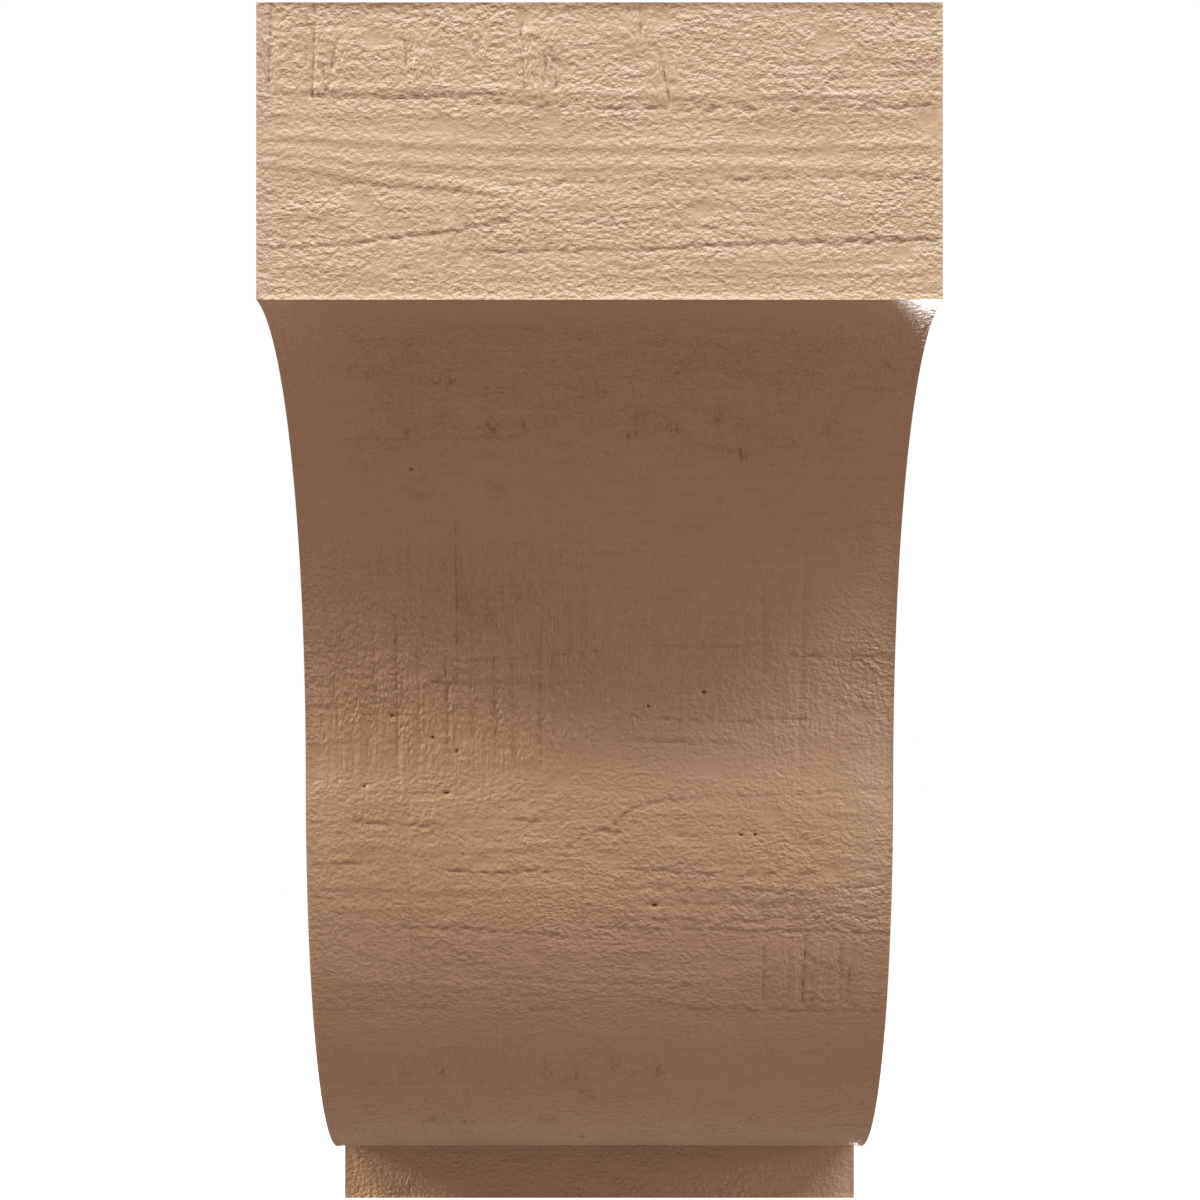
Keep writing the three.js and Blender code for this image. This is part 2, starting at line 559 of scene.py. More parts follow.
def ridge_relief(u, v):
    """A low swelling along each ridge's path, steeper on its lower side."""
    relief = np.zeros_like(u)
    for number, (height, path) in enumerate(RIDGES):
        across, down = zip(*path)
        below = v - np.interp(u, across, down) - 0.5 * noise(u / 14, v * 0, 800 + number)
        width = np.where(below < 0, 1.5, 0.75)
        ends = ramp(u, across[0] - 6, across[0] + 6) * (1 - ramp(u, across[-1] - 6, across[-1] + 6))
        relief += height * ends * np.exp(-((below / width) ** 2))
    return relief


def stroke_relief(u, v):
    """A narrow groove along each stroke with a little burr beside it."""
    relief = np.zeros_like(u)
    for number, (depth, start, end) in enumerate(STROKES):
        share = np.clip((v - start[1]) / (end[1] - start[1]), 0, 1)
        wander = 0.22 * noise(v / 2.4, u * 0, 500 + number) + 0.14 * noise(v, u * 0, 550 + number)
        beside = u - (start[0] + share * (end[0] - start[0])) + wander
        top, bottom = sorted((start[1], end[1]))
        ends = ramp(v, top - 0.8, top + 0.8) * (1 - ramp(v, bottom - 0.8, bottom + 0.8))
        broken = np.clip(0.85 + 0.8 * noise(v / 2.4, u * 0, 600 + number), 0.1, 1.4)
        groove = np.exp(-((beside / 0.5) ** 2)) - 0.35 * np.exp(-(((beside - 1.1) / 0.55) ** 2))
        relief -= depth * ends * broken * groove
    return relief


def pit_relief(u, v):
    """A steep little hole at each pit."""
    relief = np.zeros_like(u)
    for across, down, radius_across, radius_down in PITS:
        far = np.hypot((u - across) / radius_across, (v - down) / radius_down)
        relief -= PIT_DEPTH * (1 - ramp(far, 0.45, 1.1))
    return relief


def front_relief(u, v):
    """Height of the sawn front, before it is brought under the solid's surface, and
    the shade painted into its marks."""
    w = v - grain_shift(u, v)
    coarse = coarseness(u, v)
    spots = rubbed(u, v)
    saw = saw_field(u, v)

    waves = WAVE_HEIGHT * noise(u / 33, w / 12, 11) + FINE_WAVE_HEIGHT * noise(u / 40, w / 5, 12)
    crumb_size = np.where(v < HOLLOW_START, 0.88, 1.0)
    level = layered(u / (2.1 * crumb_size), v / (1.7 * crumb_size), 13, 2)
    upright = layered(u / 1.6, v / 2.3, 22, 2)
    crumbs = CRUMB_HEIGHT * np.minimum(coarse, CRUMB_LIMIT) * (level + saw * (0.85 * upright - level))
    wide_rows = 0.7 * ramp(v, 226, 240) * noise(u / 8, v / 2.3, 24)
    rows = ROW_HEIGHT * rows_field(u, v) * (noise(u / 3.8, v / 1.35, 21) + wide_rows)

    lines = thin_lines(noise(u / 12, w / 2.1, 14) + 0.3 * noise(u / 2.2, v / 1.5, 15), 0.16)
    kept = np.clip(0.1 + 1.2 * noise(u / 5.5, w / 4.0, 16), 0, 1)
    level_grooves = LEVEL_GROOVE * (1 - saw) * np.minimum(coarse, 1.3) * lines * kept
    cross = thin_lines(noise(u / 3.6, v / 55, 17) + 0.12 * noise(u / 2, v / 6, 18), 0.2)
    cross_strokes = saw * (CROSS_RIDGE * noise(u / 1.9, v / 22, 19) - CROSS_GROOVE * cross)

    relief = waves + ridge_relief(u, v) + crumbs + rows - level_grooves + cross_strokes
    relief *= 1 - RUBBED_SMOOTHING * spots
    ledges, painted_shade = ledge_relief(u, v)
    marks = stroke_relief(u, v) + pit_relief(u, v)
    # Painted shade in the bottoms of the saw strokes and pits, darker where deeper
    painted_shade = np.maximum(painted_shade, -marks / DARK_DEPTH - 0.1)
    return relief + ledges + marks, np.clip(np.maximum(painted_shade, cluster_field(u, v)), 0, 1)


def under_surface(relief, fade):
    """Brings the relief under the solid's surface, and to nothing where fade is 0."""
    return np.minimum(relief - SUNK, 0) * fade


# The faces of the piece

# Width of the strip along each edge where the relief fades out
EASE = 1.3

# Millimetres to one unit of the grain coordinates
GRAIN_UNIT = 10.0

# Middle of the growth rings in the side view, the slant of the blade's strokes, and
# how far apart in the noise the two sides are taken, so that they differ
PITH = (60.0, -340.0)
BLADE_SLANT = math.radians(9)
SIDES_APART = 400

# Saw strokes, crumbs and painted shade in the material of the plainer faces
SIDE_FINISH = (0.2, 0.75, 0)
LEVEL_FINISH = (0.15, 1.2, 0)
BACK_FINISH = (0.2, 0.9, 0)


def away_from(values, *edges):
    """1 well away from every edge, falling to 0 at each of them."""
    fade = np.ones_like(values)
    for edge in edges:
        fade = fade * ramp(np.abs(values - edge), 0, EASE)
    return fade


def front_profile(v):
    """Place and outward direction in the side view, at a distance down the front."""
    turn_in = (v - HOLLOW_START) / ARC_RADIUS
    turn_out = (v - SWELL_START) / ARC_RADIUS
    flat = np.ones_like(v)
    stretches = (
        (v <= HOLLOW_START, -PROJECTION * flat, TOP - v, -flat, 0 * flat),
        (v <= SWELL_START,
         -PROJECTION + ARC_RADIUS * np.sin(turn_in),
         ARC_CENTRE + ARC_RADIUS * np.cos(turn_in),
         -np.sin(turn_in), -np.cos(turn_in)),
        (v <= LEDGE_START,
         -SWELL_END - ARC_RADIUS * np.cos(turn_out),
         ARC_CENTRE - ARC_RADIUS * np.sin(turn_out),
         -np.cos(turn_out), -np.sin(turn_out)),
        (v <= FOOT_START, -SWELL_END + v - LEDGE_START, FOOT_TOP * flat, 0 * flat, -flat),
        (v > FOOT_START, -FOOT_DEPTH * flat, FOOT_TOP - (v - FOOT_START), -flat, 0 * flat),
    )
    where = [s[0] for s in stretches]
    return [np.select(where, [s[k] for s in stretches]) for k in range(1, 5)]


class Face:
    """One face of the piece: its points, which way is out, how deep its relief is,
    and where each point lies along and across the grain."""

    def __init__(self, place, out, relief, grain, saw, coarse, painted_shade, triangles):
        self.place = np.stack(place, 1)
        self.out = np.stack(out, 1)
        self.relief = relief
        self.grain = np.stack(grain, 1)
        self.saw = relief * 0 + saw
        self.coarse = relief * 0 + coarse
        self.painted_shade = relief * 0 + painted_shade
        self.triangles = self.facing_out(triangles)

    def facing_out(self, triangles):
        """The triangles with their corners in the order that makes them face outwards."""
        a, b, c = (self.place[triangles[:, k]] for k in range(3))
        wrong = (np.cross(b - a, c - a) * self.out[triangles[:, 0]]).sum(1) < 0
        triangles[wrong] = triangles[wrong][:, ::-1]
        return triangles


def front_face():
    """The sawn front, from the top of the block down to the bottom of the foot."""
    points, lines = front_points()
    u, v = points.T
    y, z, out_y, out_z = front_profile(v)
    fade = away_from(u, -HALF_WIDTH, HALF_WIDTH) * away_from(v, 0, HOLLOW_START, FOOT_START, FRONT_END)
    relief, painted_shade = front_relief(u, v)
    relief = under_surface(relief, fade)
    coarse = coarseness(u, v) * (1 - RUBBED_FINE_SMOOTHING * rubbed(u, v))
    return Face((u, y, z), (0 * u, out_y, out_z), relief, (u, v), saw_field(u, v), coarse, painted_shade,
                triangles(points, lines, FRONT_STRETCH))


def end_relief(y, z):
    """The sawn ends of the fibres on the two sides: crumbs, blade strokes and faint
    growth rings."""
    ring = np.hypot(y - PITH[0], z - PITH[1])
    turn = np.arctan2(z - PITH[1], y - PITH[0])
    strokes = y * math.cos(BLADE_SLANT) + z * math.sin(BLADE_SLANT)
    down = z * math.cos(BLADE_SLANT) - y * math.sin(BLADE_SLANT)
    relief = 0.10 * layered(y / 6.5, z / 6.0, 41, 2) + 0.08 * noise(y / 40, z / 32, 42)
    relief += 0.10 * noise(strokes / 5.2, down / 60, 43)
    deep = thin_lines(noise(strokes / 8.5, down / 90, 44), 0.22)
    relief -= 0.20 * deep * ramp(noise(y / 50, z / 40, 45), -0.4, 0.4)
    return relief + 0.13 * noise(ring / 7.5, turn * 4, 46)


def side_face(side):
    """The left face for side -1, the right face for side 1."""
    points, lines = outline_and_inside(side_outline(), in_side, SIDE_STEP)
    y, z = points.T
    edges = np.minimum(np.minimum(-y, TOP - np.abs(z)), reach_at(z) + y)
    for lift in (-EASE, EASE):
        edges = np.minimum(edges, reach_at(z + lift) + y)
    relief = under_surface(end_relief(y + SIDES_APART * side, z), ramp(edges, 0, EASE))
    place = (0 * y + side * HALF_WIDTH, y, z)
    out = (0 * y + side, 0 * y, 0 * y)
    return Face(place, out, relief, (y * side, z), *SIDE_FINISH, triangles(points, lines))


def plain_relief(u, across_grain, seed):
    """The sawn grain of the top, the back and the underside, plainer than the front's."""
    w = across_grain + 1.6 * noise(u / 48, across_grain / 30, seed)
    relief = 0.10 * noise(u / 33, w / 12, seed + 1) + 0.13 * layered(u / 9, w / 4.5, seed + 2, 2)
    lines = thin_lines(noise(u / 34, w / 6.5, seed + 3) + 0.2 * noise(u / 9, w / 5, seed + 4), 0.2)
    relief -= 0.24 * lines * np.clip(0.3 + noise(u / 16, w / 9, seed + 5), 0, 1)
    strokes = thin_lines(noise(u / 9, across_grain / 80, seed + 6), 0.2)
    return relief - 0.14 * strokes * ramp(noise(u / 60, w / 50, seed + 7), -0.2, 0.5)


def level_face(outline, start, end, height, step, seed):
    """The top or the underside, between two distances from the wall."""
    box = in_rectangle((-HALF_WIDTH, start), (HALF_WIDTH, end), step * MARGIN)
    points, lines = outline_and_inside(outline, box, step)
    u, y = points.T
    fade = away_from(u, -HALF_WIDTH, HALF_WIDTH) * away_from(y, start, end)
    relief = under_surface(plain_relief(u, y, seed), fade)
    place = (u, y, 0 * u + height)
    out = (0 * u, 0 * u, 0 * u + np.sign(height))
    return Face(place, out, relief, (u, y), *LEVEL_FINISH, triangles(points, lines))


def back_face():
    """The flat face that lies against the wall."""
    box = in_rectangle((-HALF_WIDTH, -TOP), (HALF_WIDTH, TOP), BACK_STEP * MARGIN)
    points, lines = outline_and_inside(back_outline(), box, BACK_STEP)
    u, z = points.T
    fade = away_from(u, -HALF_WIDTH, HALF_WIDTH) * away_from(z, -TOP, TOP)
    relief = under_surface(plain_relief(u, z, 71), fade)
    out = (0 * u, 0 * u + 1, 0 * u)
    return Face((u, 0 * u, z), out, relief, (-u, z), *BACK_FINISH, triangles(points, lines))


# Points and triangles

FRONT_ROWS = (  # down to, step down, step across
    (HOLLOW_START, 0.6, 0.9),
    (HOLLOW_START + 104, 1.25, 1.45),
    (SWELL_START, 0.8, 1.0),
    (SWELL_START + 72, 0.74, 1.0),
    (SWELL_START + 116, 1.0, 1.2),
    (LEDGE_START, 1.3, 1.5),
    (FOOT_START, 1.3, 1.5),
    (FRONT_END, 0.85, 1.15),
)
SIDE_STEP = 2.8
TOP_STEP = 3.0
BACK_STEP = 4.0

# Triangles on the front are made longer across than down
FRONT_STRETCH = (1.5, 1.0)

# Shares of a step: how far points are shifted at random, how far they keep from an
# outline, and how far apart staggered rows lie
JITTER = 0.2
MARGIN = 0.45
ROW_SPACING = 0.87

# Extra points along the marks are thinned to one in each small cell, and the rows
# leave out their own points near them. Each cell is so wide and so high.
MARK_CELL = (0.38, 0.3)
CLEAR_CELL = (0.5, 0.4)
CLEAR_OF_SIDES = 0.6
CLEAR_OF_CREASES = 0.5
CREASES = np.array([0, HOLLOW_START, FOOT_START, FRONT_END])

# Steps between the extra points, how far below or beside each mark they lie, and
# the reach of each ring round a pit with its number of points
LEDGE_STEP = 0.95
BELOW_LEDGE = (-0.05, 0.3, 0.8)
STROKE_STEP = 0.9
BESIDE_STROKE = (-0.5, 0.0, 0.5)
PIT_RINGS = ((0.5, 6), (0.95, 10), (1.4, 12))


def spread(start, end, step):
    """Evenly spaced values from start to end, about one step apart."""
    return np.linspace(start, end, max(2, int(round(abs(end - start) / step)) + 1))


def front_row_list():
    """The rows of points on the front: how far down each lies and its step across."""
    rows = [(0.0, FRONT_ROWS[0][2])]
    start = 0.0
    for end, down, across in FRONT_ROWS:
        rows += [(v, across) for v in spread(start, end, down)[1:]]
        start = end
    return rows


front_rows = front_row_list()
edge_down = np.array([v for v, across in front_rows])
random = np.random.default_rng(SEED)


def triangles(points, lines, stretch=(1.0, 1.0)):
    """Joins points in a plane into triangles inside the outline that the lines make."""
    flat = points / np.array(stretch)
    made = delaunay_2d_cdt([Vector(p) for p in flat], lines, [], 1, 1e-5)
    if len(made[0]) != len(points):
        raise ValueError("the triangulation added or merged points")
    order = np.array([o[0] for o in made[3]])
    return order[np.array(made[2])]


def loop_lines(first, last):
    """Lines that join points first to last - 1 into a closed loop."""
    return [(k, k + 1) for k in range(first, last - 1)] + [(last - 1, first)]


def ledge_points():
    """Extra points along each ledge: on its lip, at the bottom of its hollow and
    below that."""
    found = []
    for number, (depth, dots, path) in enumerate(LEDGES):
        u = spread(path[0][0], path[-1][0], LEDGE_STEP)
        line = ledge_line(number, path, u)
        found += [np.stack([u, line + below], 1) for below in BELOW_LEDGE]
    return np.concatenate(found)


def stroke_points():
    """Extra points along the bottom of each stroke and on its two sides."""
    found = []
    for depth, start, end in STROKES:
        length = math.hypot(end[0] - start[0], end[1] - start[1])
        share = np.linspace(0, 1, int(length / STROKE_STEP) + 2)
        along = np.array(start) + share[:, None] * (np.array(end) - np.array(start))
        found += [along + np.array([beside, 0.0]) for beside in BESIDE_STROKE]
    return np.concatenate(found)


def pit_points():
    """Extra points in rings on the wall and the rim of each pit."""
    found = []
    for across, down, radius_across, radius_down in PITS:
        found.append(np.array([[across, down]]))
        for reach, count in PIT_RINGS:
            angle = np.linspace(0, 2 * np.pi, count, endpoint=False) + reach
            ring_across = across + reach * radius_across * np.cos(angle)
            ring_down = down + reach * radius_down * np.sin(angle)
            found.append(np.stack([ring_across, ring_down], 1))
    return np.concatenate(found)


def cells(points, size):
    """The small cell that each point of the front lies in."""
    return np.floor((points + np.array([HALF_WIDTH, 0.0])) / np.array(size)).astype(int)


def mark_points():
    """The extra points along all marks, thinned and clear of the edges."""
    extra = np.concatenate([pit_points(), stroke_points(), ledge_points()])
    inside = np.abs(extra[:, 0]) < HALF_WIDTH - CLEAR_OF_SIDES
    clear = np.abs(extra[:, 1:] - CREASES).min(1) > CLEAR_OF_CREASES
    extra = extra[inside & clear]
    first = np.unique(cells(extra, MARK_CELL), axis=0, return_index=True)[1]
    return extra[np.sort(first)]


def cells_around(points):
    """A map of the cells that hold one of the points or touch such a cell."""
    taken = np.zeros(cells(np.array([[HALF_WIDTH, FRONT_END]]), CLEAR_CELL)[0] + 3, bool)
    near = cells(points, CLEAR_CELL)
    for shift_u in (0, 1, 2):
        for shift_v in (0, 1, 2):
            taken[near[:, 0] + shift_u, near[:, 1] + shift_v] = True
    return taken


def front_points():
    """Rows of points down the front, with extra ones along its sharpest marks."""
    extra = mark_points()
    taken = cells_around(extra)
    points, lines, left, right, count = [], [], [], [], 0
    for number, (v, across) in enumerate(front_rows):
        u = spread(-HALF_WIDTH, HALF_WIDTH, across)
        row = np.stack([u, np.full_like(u, v)], 1)
        on_crease = np.abs(CREASES - v).min() < 1e-6
        if not on_crease:
            down = (front_rows[number + 1][0] - front_rows[number - 1][0]) / 2
            stagger = (u[1] - u[0]) / 4 * (-1) ** number
            row[1:-1, 0] += stagger + random.uniform(-JITTER, JITTER, len(u) - 2) * across
            row[1:-1, 1] += random.uniform(-JITTER, JITTER, len(u) - 2) * down
            cell = cells(row, CLEAR_CELL) + 1
            keep = ~taken[cell[:, 0], cell[:, 1]]
            keep[[0, -1]] = True
            row = row[keep]
        else:
            lines += [(k, k + 1) for k in range(count, count + len(row) - 1)]
        left.append(count)
        right.append(count + len(row) - 1)
        count += len(row)
        points.append(row)
    lines += list(zip(left, left[1:])) + list(zip(right, right[1:]))
    return np.concatenate(points + [extra]), lines


def scattered(inside, low_corner, high_corner, step):
    """Points about one step apart in staggered rows, where inside says so."""
    found = []
    heights = np.arange(low_corner[1] + step * 0.5, high_corner[1], step * ROW_SPACING)
    for number, y in enumerate(heights):
        x = np.arange(low_corner[0] + step * (0.4 + 0.5 * (number % 2)), high_corner[0], step)
        row = np.stack([x, np.full_like(x, y)], 1)
        row += random.uniform(-JITTER, JITTER, row.shape) * step
        found.append(row)
    found = np.concatenate(found)
    return found[inside(found)]


def outline_and_inside(outline, inside, step):
    """An outline's points with scattered points inside it, and the outline's lines."""
    inner = scattered(inside, outline.min(0), outline.max(0), step)
    return np.concatenate([outline, inner]), loop_lines(0, len(outline))


def in_rectangle(low_corner, high_corner, margin):
    """A test for points that lie well inside a rectangle."""
    def inside(points):
        above = points > np.array(low_corner) + margin
        below = points < np.array(high_corner) - margin
        return (above & below).all(1)
    return inside


def reach_at(z):
    """How far the front stands out from the wall at a height."""
    hollow = PROJECTION - np.sqrt(np.maximum(ARC_RADIUS ** 2 - (z - ARC_CENTRE) ** 2, 0))
    swell = SWELL_END + np.sqrt(np.maximum(ARC_RADIUS ** 2 - (z - ARC_CENTRE) ** 2, 0))
    reach = np.where(z >= BLOCK_BOTTOM, PROJECTION, np.where(z >= ARC_CENTRE, hollow, swell))
    return np.where(z < FOOT_TOP, FOOT_DEPTH, reach)


def in_side(points):
    """True for points in the side view that lie well inside the corbel's outline."""
    margin = SIDE_STEP * MARGIN
    y, z = points.T
    inside = (y < -margin) & (np.abs(z) < TOP - margin)
    for lift in (-margin, 0, margin):
        inside &= -y < reach_at(z + lift) - margin
    return inside


# Points along the edges that two faces share
top_y = spread(0, -PROJECTION, TOP_STEP)
back_z = spread(-TOP, TOP, BACK_STEP)
back_u = spread(-HALF_WIDTH, HALF_WIDTH, BACK_STEP)
bottom_y = spread(-FOOT_DEPTH, 0, SIDE_STEP)
first_row_u = spread(-HALF_WIDTH, HALF_WIDTH, front_rows[0][1])
last_row_u = spread(-HALF_WIDTH, HALF_WIDTH, front_rows[-1][1])


def joined(*stretches):
    """An outline from stretches of (first measures, second measures), each without
    its last point."""
    found = []
    for first, second in stretches:
        first, second = np.broadcast_arrays(np.asarray(first, float), np.asarray(second, float))
        found.append(np.stack([first, second], 1)[:-1])
    return np.concatenate(found)


def side_outline():
    y, z, out_y, out_z = front_profile(edge_down)
    return joined((y, z), (bottom_y, -TOP), (0, back_z), (top_y, TOP))


def top_outline():
    return joined(
        (first_row_u, -PROJECTION),
        (HALF_WIDTH, top_y[::-1]),
        (back_u[::-1], 0),
        (-HALF_WIDTH, top_y),
    )


def back_outline():
    return joined(
        (back_u, -TOP),
        (HALF_WIDTH, back_z),
        (back_u[::-1], TOP),
        (-HALF_WIDTH, back_z[::-1]),
    )


def bottom_outline():
    return joined(
        (last_row_u, -FOOT_DEPTH),
        (HALF_WIDTH, bottom_y),
        (back_u[::-1], 0),
        (-HALF_WIDTH, bottom_y[::-1]),
    )


# The piece

SHARP_ANGLE = math.radians(30)

# Points of two faces are one point when they agree to a thousandth of a millimetre
SAME_TO = 1000


def corbel_mesh():
    """Joins the faces into one closed mesh, with its edges sharp and its relief
    pressed in."""
    faces = [
        front_face(),
        side_face(-1),
        side_face(1),
        level_face(top_outline(), -PROJECTION, 0, TOP, TOP_STEP, 51),
        level_face(bottom_outline(), -FOOT_DEPTH, 0, -TOP, SIDE_STEP, 61),
        back_face(),
    ]
    place = np.concatenate([f.place for f in faces])
    key = np.round(place * SAME_TO).astype(np.int64)
    first, number = np.unique(key, axis=0, return_index=True, return_inverse=True)[1:]
    number = number.ravel()
    starts = np.cumsum([0] + [len(f.place) for f in faces])
    corners = np.concatenate([f.triangles + start for f, start in zip(faces, starts)])

    mesh = bpy.data.meshes.new("corbel_rough_sawn")
    mesh.from_pydata((place[first] * MM).tolist(), [], number[corners].tolist())
    mesh.polygons.foreach_set("use_smooth", np.ones(len(corners), bool))
    mesh.set_sharp_from_angle(angle=SHARP_ANGLE)

    pressed = np.zeros((len(first), 3))
    relief = np.concatenate([f.relief for f in faces])
    np.add.at(pressed, number, np.concatenate([f.out for f in faces]) * relief[:, None])
    mesh.vertices.foreach_set("co", ((place[first] + pressed) * MM).ravel())

    grain = mesh.uv_layers.new(name="grain")
    along = np.concatenate([f.grain for f in faces]) / GRAIN_UNIT
    grain.data.foreach_set("uv", along[corners.ravel()].ravel())
    for name, values in (
        ("painted_shade", np.concatenate([f.painted_shade for f in faces])),
        ("saw", np.concatenate([f.saw for f in faces])),
        ("coarse", np.concatenate([f.coarse for f in faces])),
    ):
        layer = mesh.attributes.new(name, "FLOAT", "POINT")
        layer.data.foreach_set("value", values[first])
    mesh.validate()
    mesh.update()
    return mesh


# Timber

TAN_LIGHT = (0.515, 0.376, 0.242, 1)
TAN_DARK = (0.487, 0.352, 0.225, 1)
# Brown of the shade painted into ledge hollows, saw strokes, pits and torn clusters
PAINTED_SHADE_BROWN = (0.26, 0.15, 0.075, 1)
BUMP_HEIGHT = 0.00036
ROUGH_LOW = 0.42
ROUGH_HIGH = 0.56
TORN_ROUGHER = 0.4


class Tree:
    """Adds nodes to a material, each linked as it is made."""

    def __init__(self, material):
        material.use_nodes = True
        self.nodes = material.node_tree.nodes
        self.links = material.node_tree.links
        self.shader = self.nodes["Principled BSDF"]

    def add(self, kind, settings=None, **inputs):
        node = self.nodes.new("ShaderNode" + kind)
        for name, value in (settings or {}).items():
            setattr(node, name, value)
        for name, value in inputs.items():
            self.set(node.inputs[int(name[1:])], value)
        return node

    def set(self, socket, value):
        if isinstance(value, bpy.types.NodeSocket):
            self.links.new(value, socket)
        else:
            socket.default_value = value

    def math(self, operation, a, b=0.0, clamp=False):
        return self.add("Math", {"operation": operation, "use_clamp": clamp}, _0=a, _1=b).outputs[0]

    def grain_noise(self, along, across, detail=2.0, offset=0.0):
        """Noise on the grain coordinates, with so many bumps a centimetre each way."""
        uv = self.add("UVMap", {"uv_map": "grain"}).outputs[0]
        place = self.add("Mapping", _0=uv, _1=(offset, offset, 0), _3=(along, across, 1)).outputs[0]
        node = self.add("TexNoise", {"noise_dimensions": "2D"}, _0=place, _2=1.0, _3=detail, _4=0.55)
        return node.outputs[0]

    def measure(self, name):
        """A value that the mesh holds at each of its points."""
        return self.add("Attribute", {"attribute_name": name}).outputs["Fac"]

    def fit(self, value, low, high, new_low, new_high):
        """Maps a range of values onto another and holds it there."""
        return self.add("MapRange", _0=value, _1=low, _2=high, _3=new_low, _4=new_high).outputs[0]

    def mix(self, share, a, b):
        return self.add("Mix", {"data_type": "RGBA"}, _0=share, _6=a, _7=b).outputs[2]


def timber_material():
    """Sawn softwood: crumbs and strokes as bump, two close tans, brown painted shade in the hollows.
    """
    material = bpy.data.materials.new("rough_sawn_timber")
    tree = Tree(material)
    coarse = tree.measure("coarse")
    saw = tree.measure("saw")
    painted_shade = tree.measure("painted_shade")

    level = tree.grain_noise(8.6, 10.4, 1.1)
    upright = tree.grain_noise(12.5, 6.6, 1.1, 13.0)
    crumbs = tree.add("Mix", _0=saw, _2=level, _3=upright).outputs[0]
    clumps = tree.grain_noise(5.2, 6.6, 0.5, 5.0)
    patches = tree.fit(tree.grain_noise(1.1, 1.5, 2.0, 17.0), 0.35, 0.65, 0.8, 1.2)
    strokes = tree.grain_noise(7.5, 0.5, 2.0, 23.0)

    height = tree.math("ADD", crumbs, tree.math("MULTIPLY", clumps, 0.5))
    height = tree.math("MULTIPLY", height, tree.math("MULTIPLY", coarse, patches))
    height = tree.math("ADD", height, tree.math("MULTIPLY", tree.math("MULTIPLY", strokes, saw), 1.6))
    bump = tree.add("Bump", _0=1.0, _1=BUMP_HEIGHT)
    tree.links.new(height, bump.inputs["Height"])
    tree.links.new(bump.outputs[0], tree.shader.inputs["Normal"])

    fibres = tree.grain_noise(0.6, 7.0, 3.0, 31.0)
    tan = tree.mix(tree.fit(fibres, 0.35, 0.65, 0.0, 1.0), TAN_LIGHT, TAN_DARK)
    specks = tree.fit(tree.grain_noise(10.5, 3.2, 1.0, 41.0), 0.42, 0.64, 0.15, 1.6)
    # torn here holds the painted shade from the mesh's mask, broken into specks, which takes the tan
    # towards brown
    torn = tree.math("MULTIPLY", tree.math("POWER", painted_shade, 1.7), specks, True)
    colour = tree.mix(torn, tan, PAINTED_SHADE_BROWN)
    tree.links.new(colour, tree.shader.inputs["Base Color"])
    rough = tree.fit(clumps, 0.3, 0.7, ROUGH_LOW, ROUGH_HIGH)
    rough = tree.math("ADD", rough, tree.math("MULTIPLY", torn, TORN_ROUGHER))
    tree.links.new(rough, tree.shader.inputs["Roughness"])
    tree.shader.inputs["Specular IOR Level"].default_value = 1.0
    return material


def add_piece(name, mesh, material):
    """An object in the scene with one material."""
    piece = bpy.data.objects.new(name, mesh)
    mesh.materials.append(material)
    bpy.context.scene.collection.objects.link(piece)
    return piece


corbel = add_piece("corbel_rough_sawn", corbel_mesh(), timber_material())
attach(corbel, "root")
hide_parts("corbel")


# Floor, light and camera

FLOOR_DROP = 0.45
FLOOR_RADIUS = 3.0
FLOOR_SIDES = 96
FLOOR_LIGHT = (0.84, 0.84, 0.83, 1)
FLOOR_DARK = (0.80, 0.80, 0.79, 1)
FLOOR_ROUGH = 0.9


def floor_mesh():
    """A round floor some way under the corbel."""
    angle = np.linspace(0, 2 * np.pi, FLOOR_SIDES, endpoint=False)
    x = FLOOR_RADIUS * np.cos(angle)
    y = FLOOR_RADIUS * np.sin(angle)
    rim = np.stack([x, y, 0 * angle - FLOOR_DROP], 1)
    mesh = bpy.data.meshes.new("floor")
    mesh.from_pydata(rim.tolist(), [], [list(range(FLOOR_SIDES))])
    return mesh


def floor_material():
    """A matt pale floor with faint cloudy patches."""
    material = bpy.data.materials.new("pale_floor")
    tree = Tree(material)
    place = tree.add("TexCoord").outputs["Object"]
    cloud = tree.add("TexNoise", _0=place, _2=1.5, _3=2.0).outputs[0]
    pale = tree.mix(cloud, FLOOR_DARK, FLOOR_LIGHT)
    tree.links.new(pale, tree.shader.inputs["Base Color"])
    tree.shader.inputs["Roughness"].default_value = FLOOR_ROUGH
    return material


floor = add_piece("floor", floor_mesh(), floor_material())
floor.visible_diffuse = False
floor.visible_glossy = False
floor.visible_shadow = False


def soft_sun(name, azimuth, elevation, strength, colour, softness=16):
    """Light from far off. Azimuth 0 is straight in front and positive to the
    viewer's right."""
    a = math.radians(azimuth)
    e = math.radians(elevation)
    towards = Vector((math.cos(e) * math.sin(a), -math.cos(e) * math.cos(a), math.sin(e)))
    light = bpy.data.lights.new(name, "SUN")
    light.energy = strength
    light.color = colour
    light.angle = math.radians(softness)
    lamp = bpy.data.objects.new(name, light)
    lamp.rotation_euler = towards.to_track_quat("Z", "Y").to_euler()
    bpy.context.scene.collection.objects.link(lamp)


def panel(name, place, aim, size, strength, colour):
    """A soft light of some width and height that the camera doesn't see."""
    light = bpy.data.lights.new(name, "AREA")
    light.energy = strength
    light.color = colour
    light.shape = "RECTANGLE"
    light.size, light.size_y = size
    lamp = bpy.data.objects.new(name, light)
    lamp.location = place
    lamp.rotation_euler = (Vector(place) - Vector(aim)).to_track_quat("Z", "Y").to_euler()
    lamp.visible_camera = False
    bpy.context.scene.collection.objects.link(lamp)


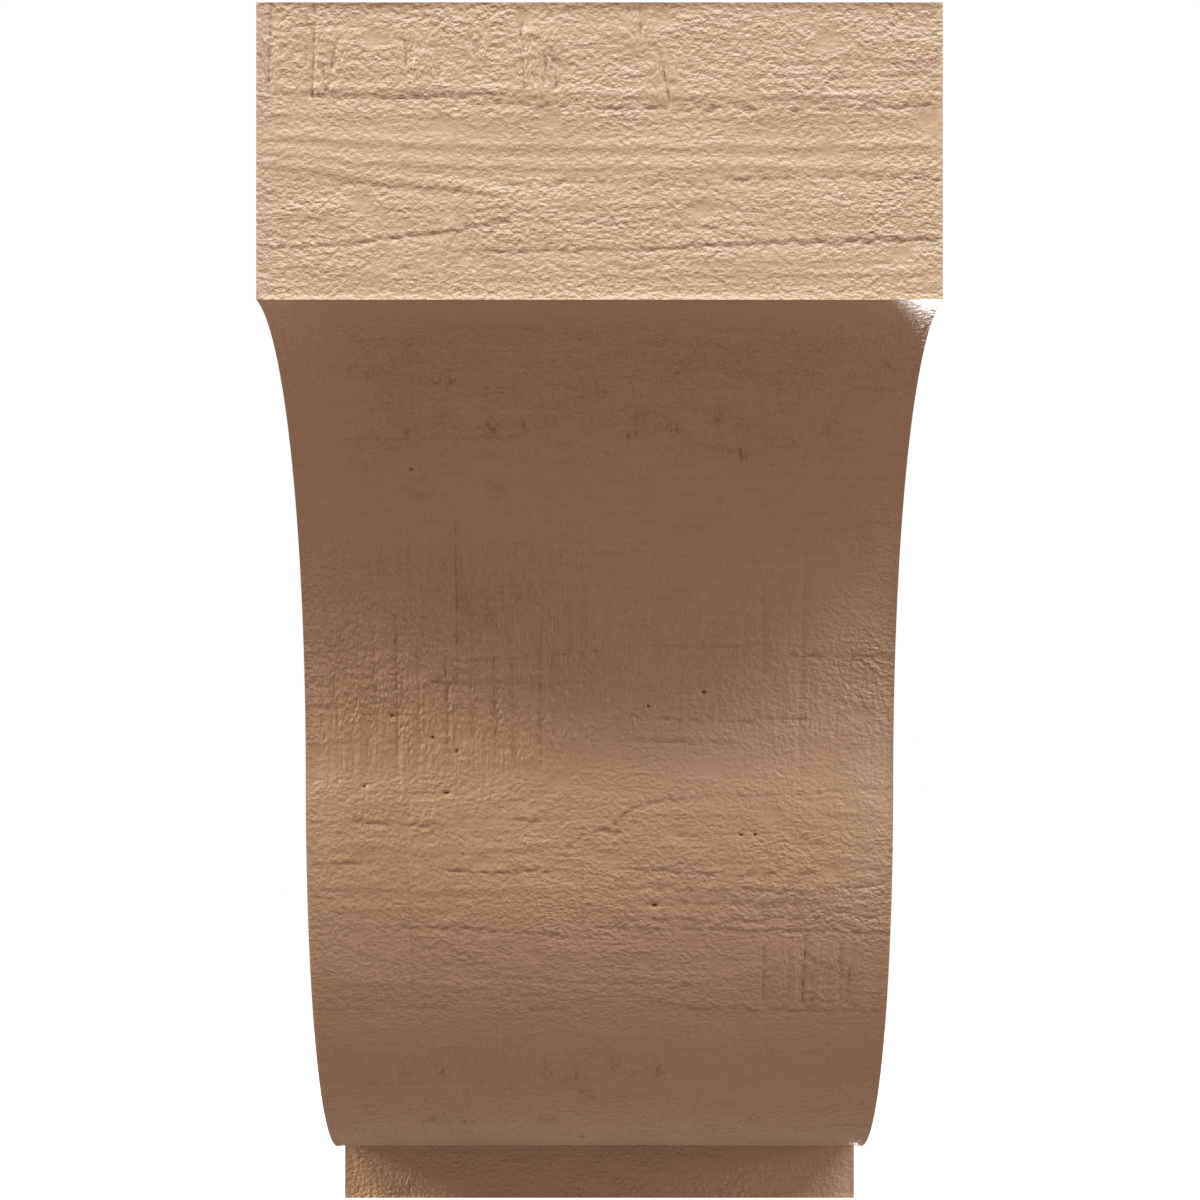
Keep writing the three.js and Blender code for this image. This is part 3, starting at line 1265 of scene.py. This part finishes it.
soft_sun("light_left", -80, 30, 2.5, (1.0, 0.91, 0.70))
soft_sun("light_left_front", -40, 45, 0.97, (1.0, 0.79, 0.53))
soft_sun("light_top", 0, 60, 1.72, (0.38, 0.72, 1.0))
soft_sun("light_front", 20, 45, 0.86, (1.0, 0.97, 0.88))
soft_sun("light_right_front", 60, 45, 1.18, (0.88, 0.89, 1.0))
soft_sun("light_under_back", 180, -36, 0.28, (1.0, 0.82, 0.64), 50)
soft_sun("light_right", 80, 15, 1.15, (1.0, 0.74, 0.54))
panel("light_back", (0.27, 1.4, -0.36), (0, 0, 0.05), (0.18, 0.44), 16, (1.0, 0.98, 0.96))


ROOM_GLOW = 0.476
ROOM_MIRRORED = 0.2
ROOM_COLOUR = (1.0, 0.713, 0.642, 1)
WHITE = (1, 1, 1, 1)


def white_room():
    """A room that looks white, lights the object with a weaker, warmer glow, and
    mirrors little in its gloss."""
    world = bpy.data.worlds.new("room")
    world.use_nodes = True
    nodes = world.node_tree.nodes
    links = world.node_tree.links
    glow = nodes["Background"]
    glow.inputs["Color"].default_value = ROOM_COLOUR
    seen = nodes.new("ShaderNodeLightPath")
    strength = nodes.new("ShaderNodeMapRange")
    strength.inputs["To Min"].default_value = ROOM_GLOW
    strength.inputs["To Max"].default_value = ROOM_GLOW * ROOM_MIRRORED
    links.new(seen.outputs["Is Glossy Ray"], strength.inputs["Value"])
    links.new(strength.outputs[0], glow.inputs["Strength"])
    white = nodes.new("ShaderNodeBackground")
    white.inputs["Color"].default_value = WHITE
    either = nodes.new("ShaderNodeMixShader")
    links.new(seen.outputs["Is Camera Ray"], either.inputs[0])
    links.new(glow.outputs[0], either.inputs[1])
    links.new(white.outputs[0], either.inputs[2])
    links.new(either.outputs[0], nodes["World Output"].inputs["Surface"])
    bpy.context.scene.world = world


white_room()

# The camera is level with the middle of the corbel. The photo's frame has the
# corbel's centre line at FRAME_CENTRE across and the eye's height at EYE_DOWN.
FRAME_SIZE = 1200
FRAME_CENTRE = 599.5
EYE_DOWN = 689.0
FOCAL_PIXELS = 2948.3
EYE_DISTANCE = 0.9083

camera = bpy.data.objects.new("camera", bpy.data.cameras.new("camera"))
camera.location = (0, -EYE_DISTANCE, 0)
camera.rotation_euler = (math.pi / 2, 0, 0)
camera.data.lens = camera.data.sensor_width * FOCAL_PIXELS / FRAME_SIZE
camera.data.shift_x = (FRAME_SIZE / 2 - FRAME_CENTRE) / FRAME_SIZE
camera.data.shift_y = (EYE_DOWN - FRAME_SIZE / 2) / FRAME_SIZE
camera.data.clip_start = 0.01
bpy.context.scene.collection.objects.link(camera)
bpy.context.scene.camera = camera
bpy.context.scene.view_settings.view_transform = "Standard"
